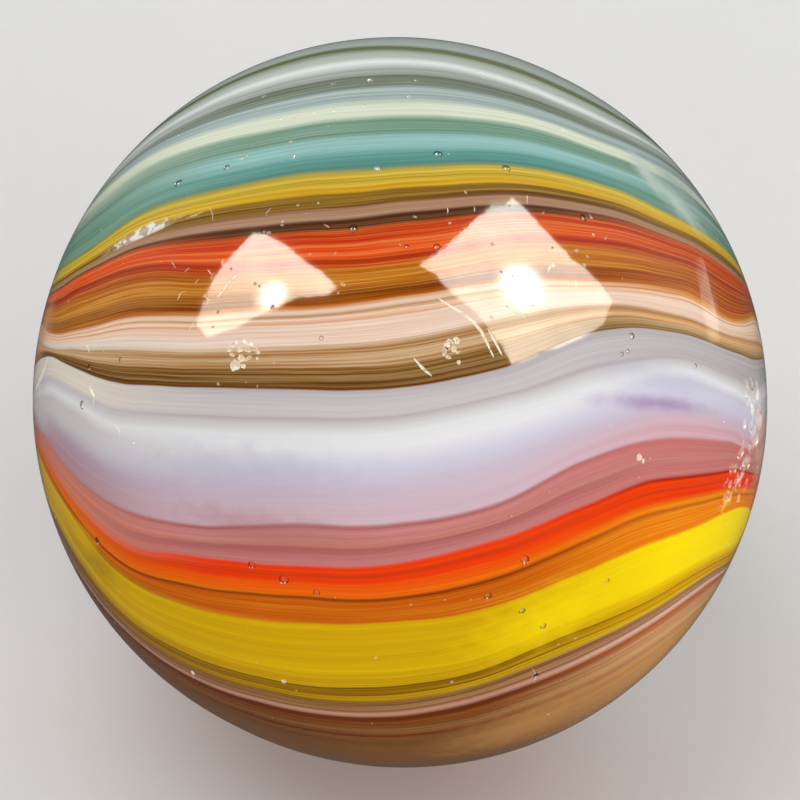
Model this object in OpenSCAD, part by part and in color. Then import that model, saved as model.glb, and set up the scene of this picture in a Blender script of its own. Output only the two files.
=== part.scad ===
// Swirled glass marble, rolled from one gob of glass, in millimetres
//
// Origin: the centre of the ball.
// X runs along the roll axis, through the two ends where the gob was sheared.
// Z points up from the seat, the lowest point of the ball.
// A place on the ball is given by its turn round the roll axis, 0 at the top
// and 90 at the front, and by its rise from the middle towards the +X end.

/* [Ball] */
// Diameter across the girth, the same all round the long axis
girth_d = 15.9; // [14:0.1:25]
// How much longer the ball is than it is thick
long_extra = 0.2; // [0.05:0.01:0.5]
// Angle from the roll axis down to the long axis
long_turn = 21; // [0:1:45]
// Angle from upright back to the plane that holds both of these axes
plane_lean = 45; // [0:1:90]

/* [Shear mark at the +X end] */
// Distance of the mark from the roll axis
shear_r = 2.3; // [1.5:0.1:3]
// Angle that the mark covers round the roll axis
shear_span = 60; // [30:1:120]
// Width of the groove where it breaks the surface
shear_w = 0.14; // [0.1:0.01:0.3]
// Depth of the groove
shear_depth = 0.03; // [0.02:0.005:0.05]
// Width of one of the dimples crimped along the groove
dimple_w = 0.26; // [0.15:0.01:0.35]
// Depth of one dimple
dimple_depth = 0.05; // [0.03:0.005:0.08]
// Step from one dimple to the next, on the other side of the groove
dimple_step = 0.24; // [0.2:0.01:0.5]
// Land left between the groove and a dimple
dimple_land = 0.02; // [0.01:0.01:0.1]

/* [Fold mark at the -X end] */
// Distance of the mark from the roll axis
fold_r = 1.8; // [1:0.1:3]
// Angle that the mark covers round the roll axis
fold_span = 50; // [20:1:120]
// Width of the fold where it breaks the surface
fold_w = 0.2; // [0.1:0.01:0.4]
// Depth of the fold
fold_depth = 0.02; // [0.01:0.005:0.05]

/* [Chips] */
// Width of one chip
chip_w = 0.14; // [0.1:0.01:0.18]
// Depth of one chip
chip_depth = 0.04; // [0.02:0.005:0.05]
// Land left between neighbouring chips
chip_land = 0.02; // [0.01:0.01:0.1]
// Radius of the larger group of chips
large_group_r = 0.34; // [0.2:0.01:0.5]
// Radius of the smaller group of chips
small_group_r = 0.25; // [0.18:0.01:0.4]

/* [Open bubbles] */
// Width of a large bubble's mouth
large_bubble_w = 0.22; // [0.14:0.01:0.4]
// Depth of a large bubble
large_bubble_depth = 0.07; // [0.03:0.005:0.1]
// Width of a small bubble's mouth
small_bubble_w = 0.14; // [0.1:0.01:0.25]
// Depth of a small bubble
small_bubble_depth = 0.045; // [0.02:0.005:0.05]

/* [Hidden] */

ball_facets = 180;
mark_facets = 32;

// Radius of both half balls, and how far each is moved along the long axis
girth_r = girth_d / 2;
half_move = long_extra / 2;

// Direction of the long axis
roll_axis = [1, 0, 0];
lean_up = [0, sin(plane_lean), cos(plane_lean)];
long_axis = cos(long_turn) * roll_axis - sin(long_turn) * lean_up;

// Chips of a group lie on a spiral with this turn from one to the next, where
// the nearest two are at least this many spiral steps apart
spiral_turn = 137.5;
nearest_steps = 1.6;
spiral_step = (chip_w + chip_land) / nearest_steps;

// Places of the marks, each as [turn round the roll axis, rise towards +X]
shear_turn = 46;
fold_turn = 50;
large_group_place = [39, -26];
small_group_place = [35, 7];
large_bubbles = [[77, -16], [55, -60], [51, 41]];
small_bubbles = [[76, -21], [83, -12], [17, -8], [40, -13], [74, 21], [31, 38], [3, 17], [5, 6]];

// Direction from the centre to a place on the ball
function direction(turn, rise) =
    [sin(rise), -cos(rise) * sin(turn), cos(rise) * cos(turn)];

// Distance from the centre to the surface in that direction
function surface_r(way) =
    let (along = abs(way * long_axis))
        half_move * along + sqrt(girth_r * girth_r - half_move * half_move * (1 - along * along));

// Radius of the round cutter that leaves a hollow of this width and depth
function cutter_r(width, depth) = (width * width / 4 + depth * depth) / (2 * depth);

// Moves its children to a place on the surface, with their Z pointing outwards
module on_surface(turn, rise) {
    rotate([turn, 0, 0])
        rotate([0, rise, 0])
            translate([0, 0, surface_r(direction(turn, rise))])
                children();
}

// Shallow round hollow, as a burst bubble or a chip leaves it
module hollow(width, depth) {
    r = cutter_r(width, depth);
    translate([0, 0, r - depth]) sphere(r = r, $fn = mark_facets);
}

// Groove that curves round one end of the roll axis, end being 1 or -1
module curved_groove(end, ring_r, turn, span, width, depth) {
    r = cutter_r(width, depth);
    off_axis = asin(ring_r / girth_r);
    reach = surface_r(direction(turn, end * (90 - off_axis))) + r - depth;
    rotate([turn, 0, 0])
        rotate([0, end * 90, 0])
            rotate([0, 0, 90 * (1 + end) - span / 2])
                rotate_extrude(angle = span, $fn = ball_facets)
                    translate([reach * sin(off_axis), reach * cos(off_axis)])
                        circle(r = r, $fn = mark_facets);
}

// Crescent that the shears left, with dimples crimped along both its sides
module shear_mark() {
    curved_groove(1, shear_r, shear_turn, shear_span, shear_w, shear_depth);
    side_r = shear_w / 2 + dimple_land + dimple_w / 2;
    length = shear_r * shear_span * PI / 180;
    last = floor(length / dimple_step);
    for (i = [0 : last]) {
        side = i % 2 == 0 ? 1 : -1;
        turn = shear_turn + shear_span * (i / last - 0.5);
        on_surface(turn, acos((shear_r + side * side_r) / girth_r))
            hollow(dimple_w, dimple_depth);
    }
}

// Crease where the other end of the gob folded over
module fold_mark() {
    curved_groove(-1, fold_r, fold_turn, fold_span, fold_w, fold_depth);
}

// Chips knocked out round a place on the ball, as many as the group has room for
module chip_group(place, group_r) {
    last = floor(pow((group_r - chip_w / 2) / spiral_step, 2) - 0.5);
    for (i = [0 : last]) {
        out = spiral_step * sqrt(i + 0.5);
        on_surface(place[0], place[1])
            rotate([0, 0, spiral_turn * i])
                translate([out, 0, -out * out / girth_d])
                    hollow(chip_w, chip_depth);
    }
}

// Bubbles that reached the surface and burst
module open_bubbles() {
    for (place = large_bubbles)
        on_surface(place[0], place[1])
            hollow(large_bubble_w, large_bubble_depth);
    for (place = small_bubbles)
        on_surface(place[0], place[1])
            hollow(small_bubble_w, small_bubble_depth);
}

// Half of the ball's outline: two arcs, with a short straight belt between
module outline() {
    intersection() {
        union() {
            for (side = [-1, 1])
                translate([0, side * half_move]) circle(r = girth_r, $fn = ball_facets);
            translate([0, -half_move]) square([girth_r, long_extra]);
        }
        translate([0, -girth_d]) square([girth_d, 2 * girth_d]);
    }
}

// Ball a little out of round, its outline turned about the long axis
module ball() {
    rotate([-plane_lean, 0, 0])
        rotate([0, 90 + long_turn, 0])
            rotate_extrude($fn = ball_facets) outline();
}

module marble() {
    color("orange")
        difference() {
            ball();
            shear_mark();
            fold_mark();
            chip_group(large_group_place, large_group_r);
            chip_group(small_group_place, small_group_r);
            open_bubbles();
        }
}

marble();
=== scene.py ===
import math
import random

import bmesh
import bpy
from mathutils import Matrix, Vector, kdtree, noise


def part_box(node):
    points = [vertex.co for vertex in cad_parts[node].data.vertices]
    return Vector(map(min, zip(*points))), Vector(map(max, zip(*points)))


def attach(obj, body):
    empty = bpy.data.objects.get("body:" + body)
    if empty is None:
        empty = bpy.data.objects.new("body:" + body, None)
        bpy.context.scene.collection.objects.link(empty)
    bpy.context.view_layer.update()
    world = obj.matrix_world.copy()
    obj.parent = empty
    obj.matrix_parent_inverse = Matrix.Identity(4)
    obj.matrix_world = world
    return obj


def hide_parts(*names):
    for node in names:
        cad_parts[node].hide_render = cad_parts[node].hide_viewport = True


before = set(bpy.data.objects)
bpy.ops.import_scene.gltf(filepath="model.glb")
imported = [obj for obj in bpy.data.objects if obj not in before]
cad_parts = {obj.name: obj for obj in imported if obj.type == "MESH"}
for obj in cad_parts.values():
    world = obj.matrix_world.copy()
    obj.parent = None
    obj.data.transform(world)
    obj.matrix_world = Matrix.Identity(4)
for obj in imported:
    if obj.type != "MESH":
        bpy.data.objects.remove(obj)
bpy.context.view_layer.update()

# All sizes are in metres
MM = 0.001

# The camera faces a leaning plane: UP_WAY runs up that plane and NEAR_WAY towards the camera.
# The ball is longest along LONG_AXIS, which lies in the same plane
LONG_TURN = math.radians(21)
LEAN = math.radians(45)
UP_WAY = Vector((0, math.sin(LEAN), math.cos(LEAN)))
NEAR_WAY = Vector((0, -math.cos(LEAN), math.sin(LEAN)))
LONG_AXIS = Vector((math.cos(LONG_TURN), 0, 0)) - math.sin(LONG_TURN) * UP_WAY

# Two half balls of radius GIRTH_R, each moved by HALF_MOVE along the long axis, as the corners
# of the node's box say
low_corner, high_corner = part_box("marble")
HALF_MOVE = (high_corner.x - high_corner.z) / (LONG_AXIS.x - abs(LONG_AXIS.z))
GIRTH_R = high_corner.z - HALF_MOVE * abs(LONG_AXIS.z)
MEAN_R = GIRTH_R + HALF_MOVE / 2


def surface_r(way):
    """Distance from the centre to the glass in a direction of unit length."""
    along = abs(way.dot(LONG_AXIS))
    return HALF_MOVE * along + math.sqrt(GIRTH_R ** 2 - HALF_MOVE ** 2 * (1 - along ** 2))


# Camera: along the photograph's line of sight, from above the front
CAMERA_REACH = 100 * MM
CAMERA_ROLL = math.radians(5.5)
RIGHT_WAY = Vector((math.cos(CAMERA_ROLL), 0, 0)) + math.sin(CAMERA_ROLL) * UP_WAY
TOP_WAY = math.cos(CAMERA_ROLL) * UP_WAY - Vector((math.sin(CAMERA_ROLL), 0, 0))
EYE = NEAR_WAY * CAMERA_REACH
SENSOR = 36.0
NEAREST = 5 * MM
FARTHEST = 10

# The photograph and the ball's outline in it, in pixels
IMAGE_PX = 800
BALL_R_PX = 365.5
BALL_X_PX = 400.0
BALL_Y_PX = 402.3
# Slope of the sight line to the ball's edge, and the size that one pixel shows on the ball
EDGE_SLOPE = MEAN_R / math.sqrt(CAMERA_REACH ** 2 - MEAN_R ** 2)
PX = MEAN_R / BALL_R_PX


def add_to_scene(name, data):
    """A new object with this data, in the scene."""
    item = bpy.data.objects.new(name, data)
    bpy.context.scene.collection.objects.link(item)
    return item


def add_camera():
    """The camera, which sees the ball where the photograph shows it."""
    data = bpy.data.cameras.new("camera")
    data.sensor_width = SENSOR
    data.lens = BALL_R_PX / EDGE_SLOPE * SENSOR / IMAGE_PX
    data.shift_x = (IMAGE_PX / 2 - BALL_X_PX) / IMAGE_PX
    data.shift_y = (BALL_Y_PX - IMAGE_PX / 2) / IMAGE_PX
    data.clip_start = NEAREST
    data.clip_end = FARTHEST
    camera = add_to_scene("camera", data)
    axes = Matrix((RIGHT_WAY, TOP_WAY, NEAR_WAY)).transposed()
    camera.matrix_world = Matrix.Translation(EYE) @ axes.to_4x4()
    bpy.context.scene.camera = camera


def way_at(x_px, y_px):
    """Direction from the centre to the glass that the camera sees at a pixel."""
    across = (x_px - BALL_X_PX) / BALL_R_PX * EDGE_SLOPE
    upward = (BALL_Y_PX - y_px) / BALL_R_PX * EDGE_SLOPE
    ray = (RIGHT_WAY * across + TOP_WAY * upward - NEAR_WAY).normalized()
    along = EYE.dot(ray)
    near_hit = -along - math.sqrt(max(along ** 2 - EYE.length_squared + MEAN_R ** 2, 0))
    return (EYE + ray * near_hit).normalized()


def mirrored_way(x_px, y_px):
    """Direction that the glass at a pixel mirrors towards the camera."""
    way = way_at(x_px, y_px)
    view = (EYE - way * MEAN_R).normalized()
    return (2 * way.dot(view) * way - view).normalized()


# Colours of the glass, as they are seen in even light; some side colours of the bands also hold
# painted light and painted reflection
GLASS = {
    "mint": "c4d2c8", "olive": "727d50", "sage": "b2c2b0", "snow": "f2fbf2", "fog": "c0c8c0",
    "pewter": "6c7864", "mist": "a4b6b2", "cream": "dce4ca", "reed": "70967f",
    "teal_light": "90bfba", "teal": "5f9d93", "teal_deep": "4d867c", "moss": "a89a3c",
    "lemon": "d6b42c", "umber": "6a3c06", "stone": "aa8264", "soot": "4c2408", "ember": "c44c12",
    "tomato": "e0561a", "brick": "a42c06", "rust": "b4521a", "amber": "be741e", "honey": "dc9448",
    "bark": "7e3c08", "shell": "f0d0b8", "petal": "e8cab4", "sand": "bc9468", "khaki": "8a6432",
    "cocoa": "6e4a20", "dove": "b8afb0", "silver": "c8c2c2", "pearl": "e0e0e0", "milk": "e6e4e6",
    "lilac": "cfc8ce", "rose": "c47a76", "rose_dark": "aa625e", "coral": "c07a6e",
    "scarlet": "d03a0c", "flame": "ec5a04", "orange": "e26804", "burnt": "b85004",
    "yellow": "d4a800", "maize": "d8ac08", "gold": "c89c04", "ochre": "986c04", "tan": "8a5c34",
    "blush": "c4907a", "chestnut": "5c2404", "walnut": "7a3c0c", "toffee": "764c22",
    "oak": "7e4e1a", "peach": "dca074", "salmon": "d8785c", "ivory": "dcd2c4", "sun": "ffe000",
    "gold_deep": "d8a400", "line": "5c4000", "bluebell": "b2b4ca", "violet": "a58ab2",
    "azure": "d0ccdc", "frost": "cbc6c8", "caramel": "d09658", "biscuit": "c08a5c",
    "vermilion": "ec3802", "brown_orange": "cc680c", "clay": "a06c50", "petal_blue": "cabac8",
    "haze": "dcb8a0", "cherry": "a01c02", "tangerine": "f08c12", "heather": "b09aa8",
    "mallow": "b08a94", "thistle": "ceb2bc", "chalk": "f0e6e0", "olive_gold": "b48e10",
    "bronze": "85600c", "shell_pink": "d4a6ae", "rose_warm": "c6706a",
}


def linear(name):
    """A named colour as linear red, green and blue."""
    code = GLASS[name]
    parts = [int(code[place:place + 2], 16) / 255 for place in (0, 2, 4)]
    return [part / 12.92 if part <= 0.04045 else ((part + 0.055) / 1.055) ** 2.4 for part in parts]


# Streaks: each place on the ball has a turn round the streaks' axis, which is 45 degrees at the
# middle of the picture, and a rise from the middle of the ball towards its right end.
# The axis lies a little below the centre, by these shares of the radius at the two ends
END_DROP_LEFT = -0.09
END_DROP_RIGHT = -0.03
END_DROP_MEAN = (END_DROP_LEFT + END_DROP_RIGHT) / 2
END_DROP_SLOPE = (END_DROP_RIGHT - END_DROP_LEFT) / 2
FRONT_TURN = 45
# The turn where the count starts again, at the back
TURN_CUT = 225

# Rises at which the edges between the bands are set
STATIONS = (-84, -78, -70, -60, -45, -30, -15, 0, 15, 30, 45, 60, 70, 78, 84)

# Edges between the bands: the turn of each at every station. Its turn at the middle of the
# ball is its label
EDGES = (
    (-100, -80, -62, -46, -33, -29, -28, -26.8, -26.3, -28.7, -41, -58, -75, -88, -100),
    (-96, -72, -52, -35, -25.8, -22.2, -21.1, -21.2, -20.2, -22.5, -36, -52, -70, -84, -96),
    (-91, -66, -46, -30, -19.6, -14.4, -13.3, -14.2, -14.5, -17.7, -30, -47, -66, -81, -93),
    (-85, -60, -40, -24, -14, -8.1, -6.8, -7.4, -9.6, -12.3, -22.5, -40, -60, -78, -90),
    (-76, -42, -14, -0.8, 2.5, 5.3, 5.8, 4.5, 1.2, -1.9, -7.7, -25, -50, -70, -85),
    (-60, -28, -4, 5.5, 10.2, 13.1, 13.8, 11.8, 8, 4.2, -1.5, -15, -42, -62, -80),
    (-50, -18, 3, 11, 15.7, 20.2, 21, 19.6, 14.5, 10, 4.2, -7.5, -35, -56, -75),
    (-40, -4, 16.5, 24, 26.2, 28.6, 28.5, 26, 22, 17.8, 11.9, 4.5, -24, -50, -70),
    (-20, 6, 22, 28.8, 32.8, 34.6, 34.2, 32.2, 27.5, 21.9, 17.7, 10.7, -6, -40, -65),
    (10, 18, 25.5, 34, 40.2, 40.8, 40.4, 39.3, 35, 26.5, 21.5, 15.8, 4, -30, -58),
    (45, 42, 40, 44, 49.5, 48.8, 47.7, 46.2, 42, 36.5, 30, 28, 24.5, 5, -40),
    (75, 66, 62, 65.8, 67.8, 65.6, 61.9, 60.2, 56.5, 48.5, 44, 43.5, 46, 36, 10),
    (100, 80, 71, 73.5, 76.2, 71.5, 68.8, 66.5, 62.3, 56.5, 52.3, 52.3, 56, 66, 80),
    (120, 92, 77, 80, 83, 79, 75.2, 73.3, 70, 64.2, 60.3, 61.5, 68, 85, 110),
    (130, 98, 81, 81.5, 86.3, 83.5, 80, 77.2, 74.6, 69.6, 66.6, 67.3, 74.5, 105, 125),
    (165, 145, 118, 99.5, 100.4, 97.3, 93.8, 90.4, 86.9, 82, 81.2, 85.4, 104, 135, 150),
    (180, 162, 135, 114, 109.5, 105.8, 101.5, 98.3, 94.3, 90.8, 89, 93.8, 118, 145, 165),
    (195, 180, 155, 125, 118, 113, 108.5, 105.4, 102.5, 99.6, 99.8, 109, 130, 155, 172),
    (205, 198, 185, 160, 148, 142, 138, 135, 134, 135, 140, 150, 165, 180, 190),
    (215, 212, 205, 195, 188, 184, 181, 180, 180, 182, 186, 192, 200, 208, 212),
)
MIDDLE = STATIONS.index(0)

# Colours along the labels: label, then the colour at the left, the middle and the right, then
# how strongly the glass is streaked there
# At the right the colours are brighter, partly their own and partly painted light; at both sides
# the teals are greyer, a painted reflection
STOPS = (
    (-135, "walnut", "walnut", "walnut", 0.8),
    (-120, "amber", "amber", "amber", 0.8),
    (-110, "shell", "shell", "shell", 0.4),
    (-104, "rust", "rust", "rust", 0.8),
    (-92, "tomato", "tomato", "tomato", 0.5),
    (-84, "lemon", "lemon", "lemon", 0.5),
    (-74, "moss", "moss", "moss", 0.5),
    (-70, "teal", "teal", "teal", 0.4),
    (-58, "teal_light", "teal_light", "teal_light", 0.4),
    (-50, "mist", "mist", "mist", 0.4),
    (-42, "pewter", "pewter", "pewter", 0.5),
    (-38, "fog", "mint", "mint", 0.2),
    (-29.5, "mint", "mint", "mint", 0.2),
    (-28, "olive", "olive", "olive", 0.3),
    (-26.4, "olive", "olive", "olive", 0.3),
    (-25, "sage", "sage", "sage", 0.3),
    (-23, "fog", "fog", "fog", 0.6),
    (-21.2, "snow", "snow", "snow", 0.1),
    (-19.4, "fog", "fog", "fog", 0.6),
    (-16.6, "fog", "pewter", "fog", 0.6),
    (-14, "pewter", "pewter", "pewter", 0.6),
    (-13, "mist", "mist", "mist", 0.6),
    (-10, "mist", "mist", "mist", 0.6),
    (-8.6, "cream", "cream", "cream", 0.6),
    (-6.4, "cream", "cream", "cream", 0.6),
    (-5, "sage", "reed", "reed", 0.4),
    (-2.4, "reed", "reed", "reed", 0.4),
    (-1.4, "reed", "teal_light", "teal_light", 0.3),
    (0.4, "reed", "teal_light", "reed", 0.3),
    (2, "reed", "teal", "reed", 0.3),
    (4, "reed", "teal_deep", "reed", 0.3),
    (4.8, "moss", "moss", "moss", 0.3),
    (5.5, "lemon", "lemon", "lemon", 0.5),
    (6.3, "olive_gold", "olive_gold", "lemon", 0.6),
    (7, "lemon", "lemon", "lemon", 0.6),
    (7.8, "lemon", "gold_deep", "gold_deep", 0.8),
    (8.6, "olive_gold", "bronze", "olive_gold", 0.8),
    (9.4, "bronze", "bronze", "bronze", 0.8),
    (10.5, "bronze", "umber", "bronze", 0.6),
    (11, "stone", "stone", "stone", 0.3),
    (11.4, "stone", "stone", "stone", 0.3),
    (12.2, "stone", "stone", "stone", 0.3),
    (12.7, "soot", "soot", "rust", 0.5),
    (13.9, "ember", "soot", "ember", 0.5),
    (14.6, "tomato", "ember", "ember", 0.9),
    (17.6, "tomato", "tomato", "ember", 0.9),
    (19, "rust", "tomato", "rust", 0.9),
    (19.6, "brick", "brick", "brick", 0.4),
    (20.3, "rust", "ember", "rust", 0.7),
    (21.2, "amber", "amber", "rust", 0.9),
    (23, "amber", "amber", "amber", 1),
    (24.6, "bark", "bark", "rust", 1),
    (25.6, "amber", "amber", "amber", 0.8),
    (26.3, "shell", "shell", "honey", 0.5),
    (27.1, "peach", "sand", "honey", 0.7),
    (27.6, "shell", "shell", "shell", 0.6),
    (28.2, "peach", "peach", "peach", 0.7),
    (28.6, "shell", "petal", "shell", 0.6),
    (29, "shell", "petal", "shell", 0.7),
    (31.6, "ivory", "petal", "shell", 0.7),
    (32.6, "sand", "sand", "sand", 1),
    (35.4, "sand", "sand", "honey", 1),
    (36, "khaki", "khaki", "sand", 0.8),
    (38.6, "cocoa", "cocoa", "khaki", 0.8),
    (39.2, "umber", "umber", "khaki", 0.3),
    (39.5, "ivory", "dove", "dove", 0.3),
    (43, "ivory", "silver", "dove", 0.2),
    (43.6, "silver", "dove", "dove", 0.2),
    (44.2, "silver", "silver", "silver", 0.1),
    (46, "pearl", "pearl", "milk", 0.1),
    (48, "silver", "milk", "azure", 0.1),
    (51, "silver", "azure", "azure", 0.05),
    (54, "heather", "petal_blue", "petal_blue", 0.06),
    (57.4, "mallow", "thistle", "shell_pink", 0.1),
    (59.6, "mallow", "thistle", "shell_pink", 0.1),
    (60.2, "coral", "rose_dark", "rose", 0.2),
    (60.8, "coral", "rose", "rose_warm", 0.15),
    (63.2, "salmon", "coral", "rose", 0.2),
    (63.6, "coral", "rose_dark", "rose", 0.2),
    (66.2, "salmon", "rose", "rose_warm", 0.15),
    (66.8, "salmon", "vermilion", "cherry", 0.15),
    (67.3, "salmon", "vermilion", "vermilion", 0.15),
    (68.4, "orange", "scarlet", "vermilion", 0.15),
    (68.9, "orange", "vermilion", "scarlet", 0.15),
    (69.3, "orange", "vermilion", "vermilion", 0.15),
    (70.4, "orange", "flame", "vermilion", 0.2),
    (71.2, "orange", "flame", "orange", 0.2),
    (72.2, "orange", "orange", "tangerine", 0.4),
    (72.7, "chestnut", "bark", "brown_orange", 0.2),
    (73, "burnt", "burnt", "brown_orange", 0.2),
    (73.8, "orange", "brown_orange", "tangerine", 0.5),
    (76.8, "ochre", "brown_orange", "tangerine", 0.5),
    (77.4, "maize", "yellow", "sun", 0.3),
    (80, "maize", "yellow", "sun", 0.3),
    (87, "maize", "yellow", "sun", 0.4),
    (90, "gold", "gold", "gold_deep", 0.5),
    (90.7, "gold", "gold", "gold_deep", 0.5),
    (91, "line", "line", "ochre", 0.3),
    (91.4, "ochre", "ochre", "gold_deep", 0.5),
    (92.6, "ochre", "ochre", "gold_deep", 0.6),
    (92.9, "line", "line", "ochre", 0.3),
    (93.3, "ochre", "gold", "gold_deep", 0.6),
    (94.4, "tan", "ochre", "gold", 0.6),
    (95.2, "tan", "tan", "clay", 0.5),
    (97.6, "tan", "tan", "clay", 0.4),
    (98.2, "blush", "blush", "haze", 0.2),
    (98.7, "blush", "blush", "haze", 0.2),
    (99.6, "chestnut", "chestnut", "rust", 0.2),
    (101.4, "walnut", "walnut", "biscuit", 0.4),
    (104.6, "oak", "toffee", "caramel", 0.4),
    (105.6, "oak", "walnut", "biscuit", 0.3),
    (108, "oak", "toffee", "caramel", 0.25),
    (114, "oak", "oak", "caramel", 0.08),
    (128, "oak", "oak", "caramel", 0.08),
    (140, "amber", "amber", "amber", 0.8),
    (150, "rust", "rust", "rust", 0.8),
    (158, "peach", "peach", "peach", 0.5),
    (170, "lilac", "lilac", "lilac", 0.3),
    (182, "pearl", "pearl", "pearl", 0.2),
    (190, "lilac", "lilac", "lilac", 0.3),
    (200, "sand", "sand", "sand", 0.6),
    (212, "khaki", "khaki", "khaki", 0.8),
    (225, "walnut", "walnut", "walnut", 0.8),
)
# Labels where one colour ramp ends and the next one starts
RAMP_BREAKS = (-135, -38, -5, 19.6, 46, 73, 99.6, 128, 225)
# Rises between which the middle colours give way to the left ones and to the right ones
LEFT_FADE = (-22, -60)
RIGHT_FADE = (15, 52)

# Soft patches of other colour: rise, turn, reach along and across, slant, colour, strength
PATCHES = (
    (-75, 53, 15, 13, 0.0, "frost", 0.85),
    (-77, 6, 9, 20, 0.0, "peach", 0.85),
    (-75, 38, 8, 14, 0.0, "frost", 0.6),
    (-81, 72, 7, 16, 0.0, "honey", 0.7),
    (-20, 52.5, 28, 6, -0.05, "bluebell", 0.35),
    (42, 37.2, 17, 2.4, -0.1, "violet", 0.8),
    (42, 32, 18, 4.5, -0.1, "bluebell", 0.4),
    (82, 45, 13, 60, 0.0, "haze", 0.75),
    (-46, 7.4, 10, 1.5, 0.1, "chalk", 0.45),
    (44, -18, 12, 10, 0.1, "mist", 0.7),
    (36, -13, 6, 5, 0.5, "mint", 0.9),
    (43, -11.5, 9, 5.5, 0.08, "mint", 0.9),
    (24, 108, 20, 13, -0.3, "caramel", 0.5),
    (-12, 112, 17, 12, 0.0, "chestnut", 0.2),
    # This sun patch brightens the lower right, partly as the glass's own colour and partly as
    # painted light
    (26, 77.5, 18, 9, -0.3, "sun", 0.6),
    (-52, 90, 12, 9, 0.0, "ochre", 0.7),
    (-54, 87, 7, 8, 0.0, "maize", 0.9),
    (-22, 57, 26, 9, 0.0, "heather", 0.3),
    (-18, 63.5, 22, 5, 0.0, "rose_dark", 0.45),
    (53, 12, 2, 8, 0.0, "shell", 0.3),
)

# Pale mottles, given in the same way
MOTTLES = (
    (-46, 7.2, 9, 1.6, 0.1, "chalk", 1.0),
    (71, 28, 3, 18, 0.0, "chalk", 0.85),
    (66.5, 55, 5.5, 5, -2.0, "chalk", 0.6),
    (62, 65, 3, 5, -2.0, "sun", 0.7),
    (78, 40, 7, 40, 0.0, "haze", 0.5),
    (-78, 38, 6, 20, 0.0, "chalk", 0.4),
)


# Scale of the noise that makes the streaks waver
WAVER = 3.0
# Broad and fine lines along the streaks: the scale of their noise, how far they change the
# colour's power, the least power, and how much the noise changes along a line for one degree
BROAD_LINES = 45.0
BROAD_POWER = 2.4
FINE_LINES = 190.0
FINE_POWER = 2.8
LEAST_POWER = 0.72
LINE_CHANGE = 0.00013
# How ragged the edges of the patches are, and the grain of the mottles
RAGGED_SCALE = 0.35
RAGGED_REACH = 0.6
MOTTLE_GRAIN = 3400.0
MOTTLE_EDGES = (0.46, 0.54)
# Crumbs in bruised glass
CRUMB_GRAIN = 9000.0
CRUMB_EDGES = (0.2, 0.5)
CRUMB_COLOUR = (0.95, 0.88, 0.72)
# Burst bubbles: a painted shade, the dark rim, fades in and out again, then a painted highlight
# makes the bottom a little paler
RIM_SHADE_START = (0.03, 0.2)
RIM_SHADE_END = (0.7, 0.4)
RIM_SHADE_COLOUR = (0.03, 0.012, 0.008)
RIM_SHADE_STRENGTH = 0.65
BOTTOM_HIGHLIGHT_START = (0.55, 0.85)
BOTTOM_HIGHLIGHT_COLOUR = (0.95, 0.9, 0.85)
BOTTOM_HIGHLIGHT_STRENGTH = 0.06
# Gloss of the glass, and the ripples in it
GLOSS_ROUGHNESS = 0.06
BRUISE_ROUGHNESS = 0.4
GLASS_IOR = 1.5
FINE_RIPPLES = 2200.0
BROAD_RIPPLES = 500.0
RIPPLE_DEPTH = 0.0015 * MM


class Value:
    """A socket that stands for a number; an expression on values adds its Math nodes."""

    def __init__(self, sheet, socket):
        self.sheet = sheet
        self.socket = socket

    def math(self, operation, *others):
        """The result of one Math node on this value and any others."""
        return self.sheet.add("ShaderNodeMath", {"operation": operation}, {
            place: value for place, value in enumerate((self, *others))})

    def __add__(self, other):
        return self.math("ADD", other)

    def __radd__(self, other):
        return self.math("ADD", other)

    def __sub__(self, other):
        return self.math("SUBTRACT", other)

    def __rsub__(self, other):
        return (self * -1) + other

    def __mul__(self, other):
        return self.math("MULTIPLY", other)

    def __rmul__(self, other):
        return self.math("MULTIPLY", other)

    def __truediv__(self, other):
        return self.math("DIVIDE", other)

    def rises(self, start, end):
        """A soft step from 0 at start to 1 at end; start may be the higher of the two."""
        return self.sheet.add("ShaderNodeMapRange", {"interpolation_type": "SMOOTHSTEP"}, {
            "Value": self, "From Min": start, "From Max": end})


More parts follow.
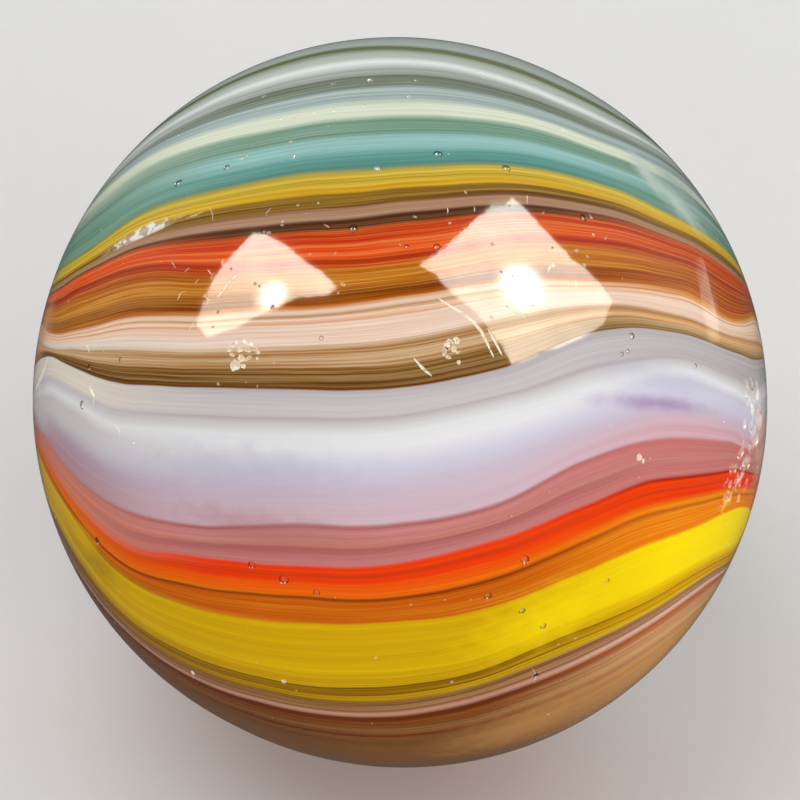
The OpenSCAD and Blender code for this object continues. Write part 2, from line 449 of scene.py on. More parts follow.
class Sheet:
    """A node tree that is filled one node at a time."""

    def __init__(self, tree):
        self.tree = tree

    def add(self, kind, settings=None, sockets=None, out=0):
        """A new node, its settings set first: the output asked for, or a list for a tuple."""
        node = self.tree.nodes.new(kind)
        for name, value in (settings or {}).items():
            setattr(node, name, value)
        for name, value in (sockets or {}).items():
            self.link(node.inputs[name], value)
        if isinstance(out, tuple):
            return [Value(self, node.outputs[place]) for place in out]
        return Value(self, node.outputs[out])

    def link(self, socket, value):
        """Feeds a socket with a value, or sets it to a constant."""
        if isinstance(value, Value):
            self.tree.links.new(value.socket, socket)
        else:
            socket.default_value = value

    def mix(self, factor, first, second):
        """Mix of two colours, each a value or red, green and blue."""
        first, second = [colour if isinstance(colour, Value) else (*colour, 1)
                         for colour in (first, second)]
        return self.add("ShaderNodeMix", {"data_type": "RGBA"}, {0: factor, 6: first, 7: second}, 2)

    def curve(self, value, points):
        """A smooth curve through points that lie between 0 and 1 both ways."""
        node = self.tree.nodes.new("ShaderNodeFloatCurve")
        line = node.mapping.curves[0]
        for place in points[1:-1]:
            line.points.new(*place)
        for point, place in zip(line.points, points):
            point.location = place
            point.handle_type = "AUTO_CLAMPED"
        node.mapping.update()
        self.link(node.inputs["Value"], value)
        return Value(self, node.outputs[0])

    def ramp(self, value, stops):
        """Colours along a value: stops of place, red, green, blue and alpha."""
        node = self.tree.nodes.new("ShaderNodeValToRGB")
        elements = node.color_ramp.elements
        while len(elements) < len(stops):
            elements.new(1)
        for element, (place, *colour) in zip(elements, stops):
            element.position = place
            element.color = colour
        self.link(node.inputs["Fac"], value)
        return Value(self, node.outputs["Color"]), Value(self, node.outputs["Alpha"])

    def noise(self, vector, scale, detail=2.0, roughness=0.5):
        """Smooth noise between 0 and 1, a half on average."""
        return self.add("ShaderNodeTexNoise", {"noise_dimensions": "3D"}, {
            "Vector": vector, "Scale": scale, "Detail": detail, "Roughness": roughness})

    def vector(self, x, y, z):
        """A vector of three values."""
        return self.add("ShaderNodeCombineXYZ", None, {"X": x, "Y": y, "Z": z})

    def along(self, place, way):
        """How far a place lies along a direction of unit length."""
        return self.add("ShaderNodeVectorMath", {"operation": "DOT_PRODUCT"}, {
            0: place, 1: way}, "Value")


def place_on_ball(sheet):
    """The shaded place as a position and a direction, and its turn and rise in degrees."""
    position = sheet.add("ShaderNodeTexCoord", out=3)
    way = sheet.add("ShaderNodeVectorMath", {"operation": "NORMALIZE"}, {0: position})
    x = sheet.add("ShaderNodeSeparateXYZ", None, {0: way})
    above_axis = sheet.along(way, UP_WAY) - (x * END_DROP_SLOPE + END_DROP_MEAN)
    turn = FRONT_TURN - above_axis.math("ARCTAN2", sheet.along(way, NEAR_WAY)) * math.degrees(1)
    rise = x.math("ARCSINE") * math.degrees(1)
    return position, way, turn, rise


def label_of(sheet, turn, rise):
    """The turn that this place's streak has at the middle of the ball."""
    first_cut = TURN_CUT - 360
    lines = [(first_cut,) * len(STATIONS), *EDGES, (TURN_CUT,) * len(STATIONS)]
    curves = [first_cut]
    share = (rise + 90) / 180
    for line in EDGES:
        points = [((station + 90) / 180, (edge - first_cut) / 360)
                  for station, edge in zip(STATIONS, line)]
        curves.append(sheet.curve(share, points) * 360 + first_cut)
    curves.append(TURN_CUT)
    label = first_cut
    for number in range(len(lines) - 1):
        width = lines[number + 1][MIDDLE] - lines[number][MIDDLE]
        label = sheet.add("ShaderNodeMapRange", None, {
            "Value": turn, "From Min": curves[number], "From Max": curves[number + 1],
            "To Min": 0.0, "To Max": width}) + label
    return label


def banded(sheet, label, side):
    """Colour and streakiness of the glass with this label, at one side of the ball."""
    colour = streaky = None
    for start, end in zip(RAMP_BREAKS, RAMP_BREAKS[1:]):
        stops = [((stop[0] - start) / (end - start), *linear(stop[side]), stop[4])
                 for stop in STOPS if start <= stop[0] <= end]
        part, alpha = sheet.ramp((label - start) / (end - start), stops)
        if colour is None:
            colour, streaky = part, alpha
            continue
        past = label.math("GREATER_THAN", start)
        colour = sheet.mix(past, colour, part)
        streaky = streaky + past * (alpha - streaky)
    return colour, streaky


def streaked(sheet, label, rise):
    """The colour of the bands, drawn out in fine darker and lighter lines."""
    left, middle, right = [banded(sheet, label, side) for side in (1, 2, 3)]
    colour = sheet.mix(rise.rises(*LEFT_FADE), middle[0], left[0])
    colour = sheet.mix(rise.rises(*RIGHT_FADE), colour, right[0])
    angle = label * math.radians(1)
    ring = sheet.vector(angle.math("COSINE"), angle.math("SINE"), rise * LINE_CHANGE)
    broad = (sheet.noise(ring, BROAD_LINES, detail=3.0, roughness=0.6) - 0.5) * BROAD_POWER
    fine = (sheet.noise(ring, FINE_LINES, detail=3.0, roughness=0.7) - 0.5) * FINE_POWER
    power = (1 + (broad + fine) * middle[1]).math("MAXIMUM", LEAST_POWER)
    channels = sheet.add("ShaderNodeSeparateColor", None, {0: colour}, (0, 1, 2))
    return sheet.add("ShaderNodeCombineColor", None, {
        place: channel.math("POWER", power) for place, channel in enumerate(channels)})


def patched(sheet, colour, position, turn, rise):
    """The colour with the soft patches and the pale mottles laid over it."""
    spread = sheet.vector(rise * RAGGED_SCALE, turn * RAGGED_SCALE, 0.0)
    ragged = (sheet.noise(spread, 1.0) - 0.5) * RAGGED_REACH
    grains = sheet.noise(position, MOTTLE_GRAIN, detail=3.0, roughness=0.65).rises(*MOTTLE_EDGES)
    for patches, coverage, core in ((PATCHES, 1, 0), (MOTTLES, grains, 0.5)):
        for patch_rise, patch_turn, along, across, slant, name, strength in patches:
            off_rise = rise - patch_rise
            share_along = off_rise / along
            share_across = (turn - patch_turn - off_rise * slant) / across
            away = (share_along * share_along + share_across * share_across).math("SQRT") + ragged
            colour = sheet.mix(away.rises(1, core) * coverage * strength, colour, linear(name))
    return colour


def marked(sheet, colour, position, bruise):
    """The colour with painted shade as dark rims round the bubbles, a painted highlight in their
    bottoms, and pale crumbs where the glass is bruised.
    """
    share = sheet.add("ShaderNodeAttribute", {"attribute_name": "depth_share"}, out=2)
    # Painted shade darkens the bubbles' rims and a painted highlight pales their bottoms
    rim_shade = share.rises(*RIM_SHADE_START) * share.rises(*RIM_SHADE_END)
    colour = sheet.mix(rim_shade * RIM_SHADE_STRENGTH, colour, RIM_SHADE_COLOUR)
    colour = sheet.mix(share.rises(*BOTTOM_HIGHLIGHT_START) * BOTTOM_HIGHLIGHT_STRENGTH, colour, BOTTOM_HIGHLIGHT_COLOUR)
    crumbs = sheet.noise(position, CRUMB_GRAIN).rises(*CRUMB_EDGES)
    return sheet.mix(bruise * crumbs, colour, CRUMB_COLOUR)


def swirled_glass():
    """Opaque streaked glass with a clear gloss, but paler and rougher where it is bruised."""
    material = bpy.data.materials.new("swirled_glass")
    material.use_nodes = True
    sheet = Sheet(material.node_tree)
    shader = material.node_tree.nodes["Principled BSDF"]
    position, way, turn, rise = place_on_ball(sheet)
    label = label_of(sheet, turn, rise) + (sheet.noise(way, WAVER) - 0.5)
    bruise = sheet.add("ShaderNodeAttribute", {"attribute_name": "bruise"}, out=2)
    colour = patched(sheet, streaked(sheet, label, rise), position, turn, rise)
    sheet.link(shader.inputs["Base Color"], marked(sheet, colour, position, bruise))
    sheet.link(shader.inputs["Roughness"], bruise * BRUISE_ROUGHNESS + GLOSS_ROUGHNESS)
    shader.inputs["IOR"].default_value = GLASS_IOR
    ripple = sheet.noise(position, FINE_RIPPLES) + sheet.noise(position, BROAD_RIPPLES, detail=1.0)
    sheet.link(shader.inputs["Normal"], sheet.add("ShaderNodeBump", None, {
        "Height": ripple, "Distance": RIPPLE_DEPTH, "Strength": 1.0}))
    return material


# Waves in the rolled surface: how many there are along a radius, their height and their shift
WAVES = ((5, 0.0025 * MM, Vector()), (14, 0.0012 * MM, Vector((7, 3, 1))))
BALL_SUBDIVISIONS = 7


def ball_mesh():
    """The ball, a little out of round and very slightly wavy as rolled glass is."""
    shape = bmesh.new()
    bmesh.ops.create_icosphere(shape, subdivisions=BALL_SUBDIVISIONS, radius=1)
    for vert in shape.verts:
        way = vert.co.normalized()
        wave = sum(noise.noise(way * count + shift) * height for count, height, shift in WAVES)
        vert.co = way * (surface_r(way) + wave)
    mesh = bpy.data.meshes.new("glass_marble")
    shape.to_mesh(mesh)
    shape.free()
    mesh.polygons.foreach_set("use_smooth", [True] * len(mesh.polygons))
    return mesh


# Marks seen on the front, in the photograph's pixels
# Burst bubbles: place and width
BUBBLES_PX = (
    (283, 581, 10), (316, 594, 7), (321, 338, 5), (632, 336, 7), (622, 354, 5), (628, 351, 4),
    (695, 366, 5), (353, 228, 9), (251, 566, 8), (98, 541, 9), (525, 560, 9), (488, 596, 8),
    (522, 611, 7), (543, 626, 7), (607, 580, 5), (438, 153, 9), (507, 167, 9), (179, 184, 9),
    (227, 168, 7), (407, 246, 5), (437, 246, 7), (584, 217, 8), (83, 405, 9), (121, 360, 5),
    (90, 368, 7))
# Chips: place and width
CHIPS_PX = (
    (233, 345, 7), (232, 355, 8), (235, 365, 9), (241, 358, 8), (248, 350, 8), (248, 358, 7),
    (256, 350, 8), (247, 342, 8), (240, 349, 8), (257, 358, 5), (229, 350, 6), (252, 343, 5),
    (237, 341, 5), (243, 366, 5), (445, 351, 8), (451, 341, 8), (457, 340, 6), (454, 349, 8),
    (449, 357, 6), (459, 362, 5), (447, 345, 6), (459, 352, 5), (639, 457, 9), (643, 461, 5),
    (192, 674, 8), (283, 683, 5))
# Specks: place and width
SPECKS_PX = (
    (264, 97, 6), (333, 84, 6), (370, 80, 5), (416, 80, 5), (280, 119, 5), (294, 118, 4),
    (301, 115, 4), (314, 113, 4), (334, 110, 6), (365, 105, 5), (409, 96, 5), (242, 159, 5),
    (294, 157, 5), (291, 142, 4), (252, 144, 4), (328, 126, 4), (377, 168, 5), (247, 156, 4),
    (238, 160, 4), (415, 216, 4), (445, 246, 3), (450, 222, 3), (466, 227, 4), (461, 231, 3),
    (466, 191, 4), (544, 212, 4), (592, 217, 3), (577, 250, 5), (588, 256, 4), (585, 265, 4),
    (594, 234, 4), (606, 238, 5), (493, 243, 4), (553, 247, 4), (504, 291, 3), (507, 306, 4),
    (492, 317, 5), (533, 305, 3), (513, 275, 3), (502, 271, 3), (264, 232, 4), (269, 233, 4),
    (283, 221, 4), (282, 225, 3), (306, 213, 3), (318, 203, 3), (298, 205, 3), (310, 254, 4),
    (335, 253, 3), (343, 284, 5), (212, 277, 5), (223, 261, 4), (255, 284, 3), (259, 286, 3),
    (218, 312, 4), (213, 327, 3), (272, 307, 5), (231, 269, 3), (218, 384, 3), (246, 382, 3),
    (257, 386, 3), (134, 442, 3), (172, 409, 3), (723, 421, 4), (748, 400, 4), (296, 692, 4),
    (452, 682, 3), (489, 680, 3), (575, 638, 3))
# Long flakes and scratches: the pixels that each runs through, then its width
SCRATCHES_PX = (
    ((439, 298), (450, 305), (462, 312), (472, 319), (480, 327), (486, 339), (494, 357), 4.0),
    ((488, 328), (496, 342), (503, 356), 3.0),
    ((414, 358), (422, 367), (432, 376), 3.6),
    ((510, 307), (518, 312), (526, 317), 5.0),
    ((552, 264), (548, 272), 3.0), ((576, 280), (577, 287), 3.0),
    ((238, 274), (227, 284), (218, 297), 3.0))
# Crimps that the shears left at the right end, then two scuffs at the upper left: the pixels
# that each runs through, then its width
CRIMPS_PX = (
    ((755, 388), (757, 402), 20.0), ((757, 409), (757, 425), 20.0), ((743, 379), (748, 390), 14.0),
    ((745, 418), (741, 431), 15.0), ((757, 433), (752, 448), 18.0), ((743, 446), (736, 459), 16.0),
    ((749, 456), (744, 470), 16.0), ((736, 463), (731, 473), 14.0), ((731, 479), (726, 488), 13.0),
    ((740, 478), (736, 487), 13.0), ((730, 492), (721, 504), 15.0), ((739, 492), (734, 503), 13.0),
    ((747, 400), (746, 408), 10.0),
    ((119, 251), (134, 241), (150, 234), (165, 227), (180, 222), 6.0),
    ((184, 219), (195, 216), (206, 211), 3.5))
# Ragged pits beside the crimps at the right end: place and width
CRIMP_PITS_PX = (
    (750, 384, 16), (752, 396, 18), (758, 417, 20), (751, 408, 14), (749, 427, 15), (752, 441, 16),
    (748, 450, 14), (741, 440, 12), (742, 466, 15), (737, 455, 12), (730, 468, 13), (735, 481, 13),
    (724, 483, 10), (725, 497, 14), (733, 489, 12), (718, 506, 9), (744, 485, 12), (745, 395, 10))
# Creases near the left end: the pixels that each runs through, then its width
CREASES_PX = (
    ((50, 357), (47, 367), (43, 378), (38, 388), 8.0),
    ((91, 388), (95, 396), (94, 405), 4.5), ((116, 424), (121, 433), (119, 441), 4.0),
    ((88, 345), (91, 353), 3.0), ((189, 331), (196, 318), 2.0))
# Lint: the pixels that each fibre runs through, and the width of all
LINT_PX = (
    ((210, 208), (213, 214), (213, 221)), ((271, 208), (267, 212), (266, 216)),
    ((324, 224), (329, 227)), ((528, 194), (528, 203)), ((448, 207), (448, 213)),
    ((475, 206), (475, 211)), ((590, 213), (594, 219)), ((208, 270), (212, 275), (215, 272)),
    ((204, 296), (209, 300), (207, 305)), ((185, 272), (190, 268)), ((195, 284), (199, 279)),
    ((178, 300), (181, 293), (186, 291)), ((172, 262), (176, 268)),
    ((532, 668), (536, 675), (534, 683)), ((531, 677), (541, 671)), ((190, 672), (193, 680)),
    ((118, 330), (123, 326)), ((104, 352), (107, 346)), ((656, 296), (660, 303)),
    ((560, 132), (566, 129)))
LINT_W_PX = 1.5

# Random marks: how many, then the least and the most width in pixels
RANDOM_SEED = 7
HIDDEN_BUBBLES = (60, 3, 9)
HIDDEN_SPECKS = (110, 2, 5)
FRONT_DUST = (70, 1.6, 2.8)

# Share of the radius towards the camera at which the front begins
FRONT_EDGE = 0.05

# Depth of a round hollow as a share of its width
DEPTH_SHARE = 0.3
# How far from the middle of its mark a vertex may lie to be in it, as a share of the width
INSIDE_SHARE = 0.52
# How near two marks may come, as a share of both widths: clear of each other, or run together
CLEAR = 0.55
CROWDED = 0.3
# How far a groove's middle line lies above the glass, as a share of its width
CRIMP_LIFT = 0.3
FINE_LIFT = 0.2
# Scale of the noise that makes a round cutter lumpy
CUTTER_LUMPS = 1.6
# Steps along a groove, and sides of its round profile
GROOVE_STEPS = 7
GROOVE_SIDES = 7
# Edges sharper than this stay sharp
SHARP_ANGLE = math.radians(24)
# Keep the shadow's edge smooth on the triangles
SHADOW_MESH_OFFSET = 0.3
SHADOW_OFFSET = 0.1

# How far cut glass may be bruised, then the kinds of hollow: how round and how rough the cutter is,
# how unlike each other the hollows are, whether their walls are smooth, and their bruise
FAINT = 0.22
MILD = 0.4
STRONG = 0.8
CRIMPED = {"Roundness": 3, "Roughness": 1.4, "Unlikeness": 0.9, "Smooth": True, "Bruise": FAINT}
CHIPPED = {"Roundness": 2, "Roughness": 1.8, "Unlikeness": 0.9, "Smooth": False, "Bruise": STRONG}
SPECKLED = {"Roundness": 2, "Roughness": 1.2, "Unlikeness": 0.9, "Smooth": True, "Bruise": MILD}
BUBBLED = {"Roundness": 4, "Roughness": 0.0, "Unlikeness": 0.0, "Smooth": True, "Bruise": 0.0}


def cutter_r(width, depth):
    """Radius of the round cutter that leaves a hollow of this width and depth."""
    return (width ** 2 / 4 + depth ** 2) / (2 * depth)


def points_object(name, marks):
    """A point for each round cutter, given as a direction and a width, with its radius."""
    radii = [cutter_r(width, width * DEPTH_SHARE) for way, width in marks]
    spots = [way * (surface_r(way) + radius - width * DEPTH_SHARE)
             for (way, width), radius in zip(marks, radii)]
    mesh = bpy.data.meshes.new(name)
    mesh.from_pydata(spots, [], [])
    mesh.attributes.new("radius", "FLOAT", "POINT").data.foreach_set("value", radii)
    return add_to_scene(name, mesh)


def paths_object(name, paths, lift):
    """Curves over the ball through pixels, each lifted by this share of its own width."""
    data = bpy.data.curves.new(name, "CURVE")
    data.dimensions = "3D"
    for *pixels, width_px in paths:
        width = width_px * PX
        line = data.splines.new("POLY")
        line.points.add(len(pixels) - 1)
        for point, pixel in zip(line.points, pixels):
            way = way_at(*pixel)
            point.co = (*(way * (surface_r(way) + lift * width)), 1)
            point.radius = width / 2
    return add_to_scene(name, data)


def node_group(name, sockets):
    """A Geometry Nodes tree with a Geometry input and output and these other inputs."""
    tree = bpy.data.node_groups.new(name, "GeometryNodeTree")
    tree.interface.new_socket("Geometry", in_out="OUTPUT", socket_type="NodeSocketGeometry")
    tree.interface.new_socket("Geometry", in_out="INPUT", socket_type="NodeSocketGeometry")
    for title, kind in sockets.items():
        tree.interface.new_socket(title, in_out="INPUT", socket_type=kind)
    sheet = Sheet(tree)
    entry = tree.nodes.new("NodeGroupInput")
    return sheet, {socket.name: Value(sheet, socket) for socket in entry.outputs if socket.name}


def cut_away(sheet, given, cutters, smooth):
    """Ends the tree with the ball less the cutters, whose faces note how bruised they are."""
    cutters = sheet.add("GeometryNodeRealizeInstances", None, {0: cutters})
    cutters = sheet.add("GeometryNodeSetShadeSmooth", None, {0: cutters, "Shade Smooth": smooth})
    cutters = sheet.add(
        "GeometryNodeStoreNamedAttribute", {"data_type": "FLOAT", "domain": "FACE"},
        {"Geometry": cutters, "Name": "bruise", "Value": given["Bruise"]})
    cut = sheet.add("GeometryNodeMeshBoolean", {"operation": "DIFFERENCE", "solver": "MANIFOLD"}, {
        "Mesh 1": given["Geometry"], "Mesh 2": cutters})
    whole = sheet.add("GeometryNodeRealizeInstances", None, {0: cut})
    whole = sheet.add("GeometryNodeSetMaterial", None, {
        "Geometry": whole, "Material": given["Finish"]})
    leave = sheet.tree.nodes.new("NodeGroupOutput")
    sheet.link(leave.inputs[0], whole)


def random_value(sheet, number, least, most, seed):
    """A random value for each point."""
    return sheet.add("FunctionNodeRandomValue", {"data_type": "FLOAT"}, {
        2: least, 3: most, "ID": number, "Seed": seed}, 1)


def hollows_tree():
    """Cuts a round hollow at every point of an object."""
    sheet, given = node_group("hollows", {
        "Places": "NodeSocketObject", "Roundness": "NodeSocketInt", "Roughness": "NodeSocketFloat",
        "Unlikeness": "NodeSocketFloat", "Smooth": "NodeSocketBool", "Bruise": "NodeSocketFloat",
        "Finish": "NodeSocketMaterial"})
    places = sheet.add("GeometryNodeObjectInfo", None, {"Object": given["Places"]}, "Geometry")
    radius = sheet.add("GeometryNodeInputNamedAttribute", {"data_type": "FLOAT"}, {
        "Name": "radius"})
    ball = sheet.add("GeometryNodeMeshIcoSphere", None, {
        "Radius": 1.0, "Subdivisions": given["Roundness"]})
    place = sheet.add("GeometryNodeInputPosition")
    roughness = (sheet.noise(place, CUTTER_LUMPS) - 0.5) * given["Roughness"]
    offset = sheet.add("ShaderNodeVectorMath", {"operation": "SCALE"}, {
        0: place, "Scale": roughness})
    knob = sheet.add("GeometryNodeSetPosition", None, {"Geometry": ball, "Offset": offset})
    facing = sheet.add("FunctionNodeAlignRotationToVector", {"axis": "Z"}, {"Vector": place})
    number = sheet.add("GeometryNodeInputIndex")
    spin = random_value(sheet, number, 0.0, 2 * math.pi, RANDOM_SEED)
    spun = sheet.add("FunctionNodeAxisAngleToRotation", None, {"Axis": (0, 0, 1), "Angle": spin})
    turned = sheet.add("FunctionNodeRotateRotation", {"rotation_space": "LOCAL"}, {
        0: facing, 1: spun})
    unlikeness = given["Unlikeness"]
    sides = [(random_value(sheet, number, -0.5, 0.5, RANDOM_SEED + axis) * unlikeness + 1) * radius
             for axis in (1, 2)]
    cutters = sheet.add("GeometryNodeInstanceOnPoints", None, {
        "Points": places, "Instance": knob, "Rotation": turned,
        "Scale": sheet.vector(*sides, radius)})
    cut_away(sheet, given, cutters, given["Smooth"])
    return sheet.tree


def grooves_tree():
    """Cuts a groove along every curve of an object, at its widest in the middle."""
    sheet, given = node_group("grooves", {
        "Paths": "NodeSocketObject", "Bruise": "NodeSocketFloat", "Finish": "NodeSocketMaterial"})
    paths = sheet.add("GeometryNodeObjectInfo", None, {"Object": given["Paths"]}, "Geometry")
    paths = sheet.add("GeometryNodeResampleCurve", None, {"Curve": paths, "Count": GROOVE_STEPS})
    share = sheet.add("GeometryNodeSplineParameter")
    taper = (share * math.pi).math("SINE") * 0.5 + 0.5
    half_width = sheet.add("GeometryNodeInputRadius")
    profile = sheet.add("GeometryNodeCurvePrimitiveCircle", {"mode": "RADIUS"}, {
        "Resolution": GROOVE_SIDES, "Radius": 1.0})
    tubes = sheet.add("GeometryNodeCurveToMesh", None, {
        "Curve": paths, "Profile Curve": profile, "Scale": half_width * taper, "Fill Caps": True})
    cut_away(sheet, given, tubes, True)
    return sheet.tree


def run_nodes(piece, tree, values):
    """Runs a tree on a piece and keeps the result as its plain mesh."""
    modifier = piece.modifiers.new(tree.name, "NODES")
    modifier.node_group = tree
    for item in tree.interface.items_tree:
        if item.item_type == "SOCKET" and item.in_out == "INPUT" and item.name in values:
            modifier[item.identifier] = values[item.name]
    seen = piece.evaluated_get(bpy.context.evaluated_depsgraph_get())
    mesh = bpy.data.meshes.new_from_object(seen)
    piece.modifiers.remove(modifier)
    piece.data = mesh


def seen_marks(pixels):
    """Directions and widths of marks that are given as pixels."""
    return [(way_at(x_px, y_px), width_px * PX) for x_px, y_px, width_px in pixels]


def random_marks(draw, side, count, least_px, most_px):
    """Random marks on the front, side 1, or on the part that the photograph doesn't show, -1."""
    marks = []
    while len(marks) < count:
        way = Vector([draw.gauss(0, 1) for axis in range(3)]).normalized()
        if side * (way.dot(NEAR_WAY) - FRONT_EDGE) > 0:
            marks.append((way, draw.uniform(least_px, most_px) * PX))
    return marks


def apart(marks, share):
    """The marks without those that come too near an earlier one."""
    kept = []
    for way, width in marks:
        if all((way - other).length * MEAN_R > (width + other_width) * share
               for other, other_width in kept):
            kept.append((way, width))
    return kept


def note_depths(piece, marks):
    """Notes for every vertex how deep it lies in its round hollow, 1 at the bottom."""
    tree = kdtree.KDTree(len(marks))
    for number, (way, width) in enumerate(marks):
        tree.insert(way, number)
    tree.balance()
    depths = []
    for vert in piece.data.vertices:
        way = vert.co.normalized()
        nearest, number, away = tree.find(way)
        width = marks[number][1]
        depth = (surface_r(way) - vert.co.length) / (width * DEPTH_SHARE)
        depths.append(min(max(depth, 0), 1) if away * MEAN_R < width * INSIDE_SHARE else 0)
    piece.data.attributes.new("depth_share", "FLOAT", "POINT").data.foreach_set("value", depths)


def build_marble():
    """The marble: the ball less its marks, with its glass."""
    marble = add_to_scene("glass_marble", ball_mesh())
    glass = swirled_glass()
    draw = random.Random(RANDOM_SEED)
    bubble_marks = apart(seen_marks(BUBBLES_PX) + random_marks(draw, -1, *HIDDEN_BUBBLES), CLEAR)
    random_specks = random_marks(draw, -1, *HIDDEN_SPECKS) + random_marks(draw, 1, *FRONT_DUST)
    speck_marks = apart(seen_marks(SPECKS_PX) + random_specks, CLEAR)
    fine_paths = CREASES_PX + tuple((*path, LINT_W_PX) for path in LINT_PX)
    crimps = paths_object("crimp_paths", CRIMPS_PX, CRIMP_LIFT)
    crimp_pits = points_object("crimp_pit_places", apart(seen_marks(CRIMP_PITS_PX), CROWDED))
    scratches = paths_object("scratch_paths", SCRATCHES_PX, FINE_LIFT)
    creases = paths_object("crease_paths", fine_paths, FINE_LIFT)
    chips = points_object("chip_places", apart(seen_marks(CHIPS_PX), CROWDED))
    specks = points_object("speck_places", speck_marks)
    bubbles = points_object("bubble_places", bubble_marks)
    hollows = hollows_tree()
    grooves = grooves_tree()
    passes = (
        (grooves, {"Paths": crimps, "Bruise": FAINT}),
        (hollows, {"Places": crimp_pits, **CRIMPED}),
        (grooves, {"Paths": scratches, "Bruise": STRONG}),
        (grooves, {"Paths": creases, "Bruise": MILD}),
        (hollows, {"Places": chips, **CHIPPED}),
        (hollows, {"Places": specks, **SPECKLED}),
        (hollows, {"Places": bubbles, **BUBBLED}))
    for tree, values in passes:
        run_nodes(marble, tree, {**values, "Finish": glass})
    note_depths(marble, bubble_marks)
    for helper in (crimps, crimp_pits, scratches, creases, chips, specks, bubbles):
        bpy.data.objects.remove(helper)
    marble.data.set_sharp_from_angle(angle=SHARP_ANGLE)
    marble.cycles.shadow_terminator_geometry_offset = SHADOW_MESH_OFFSET
    marble.cycles.shadow_terminator_offset = SHADOW_OFFSET
    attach(marble, "root")
    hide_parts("marble")


# Floor: half its width, its colour and its roughness
FLOOR_REACH = 3.0
FLOOR_COLOUR = (0.72, 0.72, 0.72)
FLOOR_ROUGHNESS = 0.9


def add_floor():
    """A plain pale floor under the marble."""
    corners = [(x * FLOOR_REACH, y * FLOOR_REACH, low_corner.z)
               for x, y in ((-1, -1), (1, -1), (1, 1), (-1, 1))]
    mesh = bpy.data.meshes.new("floor")
    mesh.from_pydata(corners, [], [(0, 1, 2, 3)])
    material = bpy.data.materials.new("pale_floor")
    material.use_nodes = True
    shader = material.node_tree.nodes["Principled BSDF"]
    shader.inputs["Base Color"].default_value = (*FLOOR_COLOUR, 1)
    shader.inputs["Roughness"].default_value = FLOOR_ROUGHNESS
    mesh.materials.append(material)
    floor = add_to_scene("floor", mesh)
    floor.visible_glossy = False


# Glints: the pixels of each outline, the pixel in the middle of its bright core, and how
# bright it is down its height, as pairs of a pixel's y and a share
RIGHT_GLINT_PX = (
    (509, 197), (534, 222), (566, 258), (592, 278), (607, 300), (598, 322), (575, 338), (540, 350),
    (507, 364), (497, 342), (478, 318), (456, 297), (440, 277), (424, 268), (452, 248), (484, 218))
RIGHT_CORE_PX = (517, 284)
RIGHT_LEVELS = ((180, 1.2), (240, 1.1), (270, 1.0), (288, 0.7), (318, 0.65), (335, 1.0), (375, 1.1))
LEFT_GLINT_PX = (
    (257, 235), (268, 237), (290, 248), (308, 263), (328, 276), (341, 289), (333, 298), (303, 301),
    (284, 310), (262, 320), (240, 331), (212, 339), (202, 328), (208, 305), (218, 283), (238, 257))
LEFT_CORE_PX = (277, 300)
LEFT_LEVELS = ((220, 1.2), (260, 1.1), (290, 1.0), (308, 0.7), (340, 0.8))
SIDE_GLINT_PX = ((688, 258), (698, 254), (708, 290), (716, 338), (705, 342), (697, 300))
SIDE_CORE_PX = (702, 300)
SIDE_LEVELS = ((250, 0.6), (290, 1.0), (320, 1.0), (350, 0.7))

# Windows that the marble mirrors as glints: name, outline, core and levels, then how strong the
# pane is, how far its core reaches and how strong that is
WINDOWS = (
    ("right_window", RIGHT_GLINT_PX, RIGHT_CORE_PX, RIGHT_LEVELS, 13.5, 0.065, 80),
    ("left_window", LEFT_GLINT_PX, LEFT_CORE_PX, LEFT_LEVELS, 14.5, 0.05, 55),
    ("side_window", SIDE_GLINT_PX, SIDE_CORE_PX, SIDE_LEVELS, 1.7, 0.05, 0))
# Distance of the panes, their tints from the foot to the top, the scale of the clouds in them,
# and the most that a level can be
WINDOW_REACH = 0.3
LOW_TINT = (1, 0.88, 0.7)
HIGH_TINT = (0.95, 0.98, 0.88)
CLOUDS = 22.0
MOST_LEVEL = 2

# Soft lamps: name, then the direction to it as shares to the right, to the top and towards the
# camera, then its width and its power in watts
FILLS = (
    ("right_fill", (0.8, -0.55, 0.6), 0.35, 1.4),
    ("left_fill", (-1.0, -0.1, 0.2), 0.35, 0.4),
    ("high_fill", (-0.3, 0.7, 0.6), 0.4, 0.7))
FILL_REACH = 0.5

# Strength of the studio's light on everything, and of what the gloss mirrors of it
STUDIO_LIGHT = 0.68
MIRRORED_LIGHT = 0.08
MIRRORED_SKY = 0.5
# Where the mirrored sky fades in, up the height and towards the far side
SKY_HEIGHTS = (-0.4, 0.3)
SKY_DEPTHS = (-0.1, 0.7)


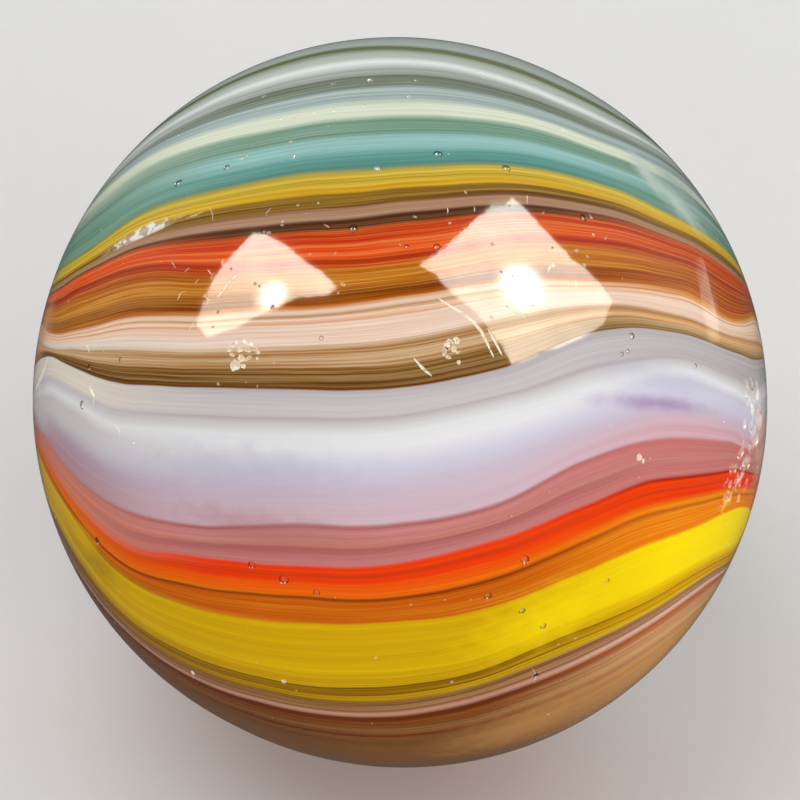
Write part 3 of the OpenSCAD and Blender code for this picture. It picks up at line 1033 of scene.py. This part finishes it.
def add_window(name, outline, core, levels, strength, core_reach, core_strength):
    """A bright pane that only gloss shows, with a bright core."""
    ways = [mirrored_way(*corner) for corner in outline]
    middle = sum(ways, Vector()).normalized()

    def on_pane(way):
        return way * (WINDOW_REACH / way.dot(middle))

    mesh = bpy.data.meshes.new(name)
    mesh.from_pydata([on_pane(way) for way in ways], [], [tuple(range(len(ways)))])
    material = bpy.data.materials.new(name)
    material.use_nodes = True
    tree = material.node_tree
    tree.nodes.clear()
    sheet = Sheet(tree)
    place = sheet.add("ShaderNodeTexCoord", out=3)
    away = sheet.add("ShaderNodeVectorMath", {"operation": "DISTANCE"}, {
        0: place, 1: on_pane(mirrored_way(*core))}, "Value")
    hot = away.rises(core_reach, 0)
    heights = [on_pane(mirrored_way(core[0], y_px)).dot(TOP_WAY) for y_px, level in levels]
    low, high = min(heights), max(heights)
    height = sheet.along(place, TOP_WAY)
    points = [((spot - low) / (high - low), level / MOST_LEVEL)
              for spot, (y_px, level) in zip(heights, levels)]
    level = sheet.curve((height - low) / (high - low), points[::-1]) * MOST_LEVEL
    cloudy = sheet.noise(place, CLOUDS) * 0.5 + 0.75
    tint = sheet.mix(height.rises(low, high), LOW_TINT, HIGH_TINT)
    glow = sheet.add("ShaderNodeEmission", None, {
        "Color": tint, "Strength": hot * hot * hot * core_strength + cloudy * level * strength})
    out = tree.nodes.new("ShaderNodeOutputMaterial")
    sheet.link(out.inputs["Surface"], glow)
    mesh.materials.append(material)
    pane = add_to_scene(name, mesh)
    pane.visible_camera = False
    pane.visible_diffuse = False
    pane.visible_shadow = False


def add_fill(name, shares, size, power):
    """A soft lamp that gives no glint."""
    data = bpy.data.lights.new(name, "AREA")
    data.shape = "DISK"
    data.size = size
    data.energy = power
    right, top, near = shares
    lamp = add_to_scene(name, data)
    lamp.location = (RIGHT_WAY * right + TOP_WAY * top + NEAR_WAY * near).normalized() * FILL_REACH
    lamp.rotation_euler = lamp.location.to_track_quat("Z", "Y").to_euler()
    lamp.visible_glossy = False
    lamp.visible_camera = False


def add_world():
    """Even light from all round, of which the gloss mirrors little, and most on the far side."""
    world = bpy.data.worlds.new("studio")
    bpy.context.scene.world = world
    world.use_nodes = True
    sheet = Sheet(world.node_tree)
    back = world.node_tree.nodes["Background"]
    way = sheet.add("ShaderNodeTexCoord", out=0)
    behind, height = sheet.add("ShaderNodeSeparateXYZ", None, {0: way}, (1, 2))
    sky = height.rises(*SKY_HEIGHTS) * behind.rises(*SKY_DEPTHS)
    glossy = sheet.add("ShaderNodeLightPath", out=3)
    mirrored = (sky * MIRRORED_SKY + MIRRORED_LIGHT) * glossy
    sheet.link(back.inputs["Strength"], mirrored + (1 - glossy) * STUDIO_LIGHT)
    back.inputs["Color"].default_value = (1, 1, 1, 1)


add_camera()
build_marble()
add_floor()
for window in WINDOWS:
    add_window(*window)
for fill in FILLS:
    add_fill(*fill)
add_world()
bpy.context.scene.view_settings.view_transform = "Standard"
